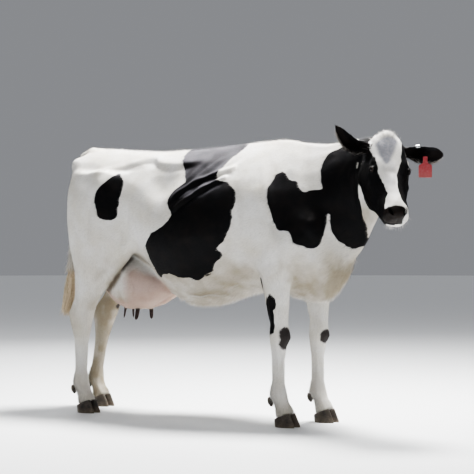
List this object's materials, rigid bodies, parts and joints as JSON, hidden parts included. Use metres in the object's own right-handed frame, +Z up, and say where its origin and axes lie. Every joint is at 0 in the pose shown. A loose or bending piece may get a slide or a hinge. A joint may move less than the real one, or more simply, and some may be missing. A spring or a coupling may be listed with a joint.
{
  "type": "life-size holstein cow model",
  "caption": "Life-size Holstein dairy cow, standing square with the head turned to its right, black and white coat, udder, hanging tail and one ear tag.",
  "frame": {"origin": "middle of the floor area the model covers, on the floor under the soles", "axes": "+X from tail to head along the body, +Y to the cow's left, +Z up"},
  "size_m": [2.3272, 0.7278, 1.4905],
  "materials": {
    "coat_white": "short white hair, soft sheen",
    "coat_black": "short black hair, soft sheen",
    "skin": "fine pink skin, matte",
    "teat": "dark skin, matte",
    "nose": "moist dark skin",
    "horn": "hoof horn, satin",
    "eye": "wet",
    "tag": "moulded plastic, satin",
    "metal": "satin"
  },
  "bodies": {
    "root": {"ear_clip": "metal", "ear_left": "coat_black", "ear_right": "coat_black", "eye_left": "eye", "eye_right": "eye", "foreleg_left_cannon": "coat_white", "foreleg_left_claw_inner": "horn", "foreleg_left_claw_outer": "horn", "foreleg_left_dewclaw_inner": "horn", "foreleg_left_dewclaw_outer": "horn", "foreleg_left_forearm": "coat_black", "foreleg_left_pastern": "coat_white", "foreleg_right_cannon": "coat_white", "foreleg_right_claw_inner": "horn", "foreleg_right_claw_outer": "horn", "foreleg_right_dewclaw_inner": "horn", "foreleg_right_dewclaw_outer": "horn", "foreleg_right_forearm": "coat_black", "foreleg_right_pastern": "coat_white", "head": "coat_white", "hindleg_left_cannon": "coat_white", "hindleg_left_claw_inner": "horn", "hindleg_left_claw_outer": "horn", "hindleg_left_dewclaw_inner": "horn", "hindleg_left_dewclaw_outer": "horn", "hindleg_left_pastern": "coat_white", "hindleg_left_thigh": "coat_white", "hindleg_right_cannon": "coat_white", "hindleg_right_claw_inner": "horn", "hindleg_right_claw_outer": "horn", "hindleg_right_dewclaw_inner": "horn", "hindleg_right_dewclaw_outer": "horn", "hindleg_right_pastern": "coat_white", "hindleg_right_thigh": "coat_white", "neck": "coat_white", "tag_panel": "tag", "tag_stud": "tag", "tail": "coat_white", "tail_switch": "coat_white", "teat_fore_left": "teat", "teat_fore_right": "teat", "teat_rear_left": "teat", "teat_rear_right": "teat", "trunk": "coat_white", "udder": "skin"}
  },
  "joints": []
}
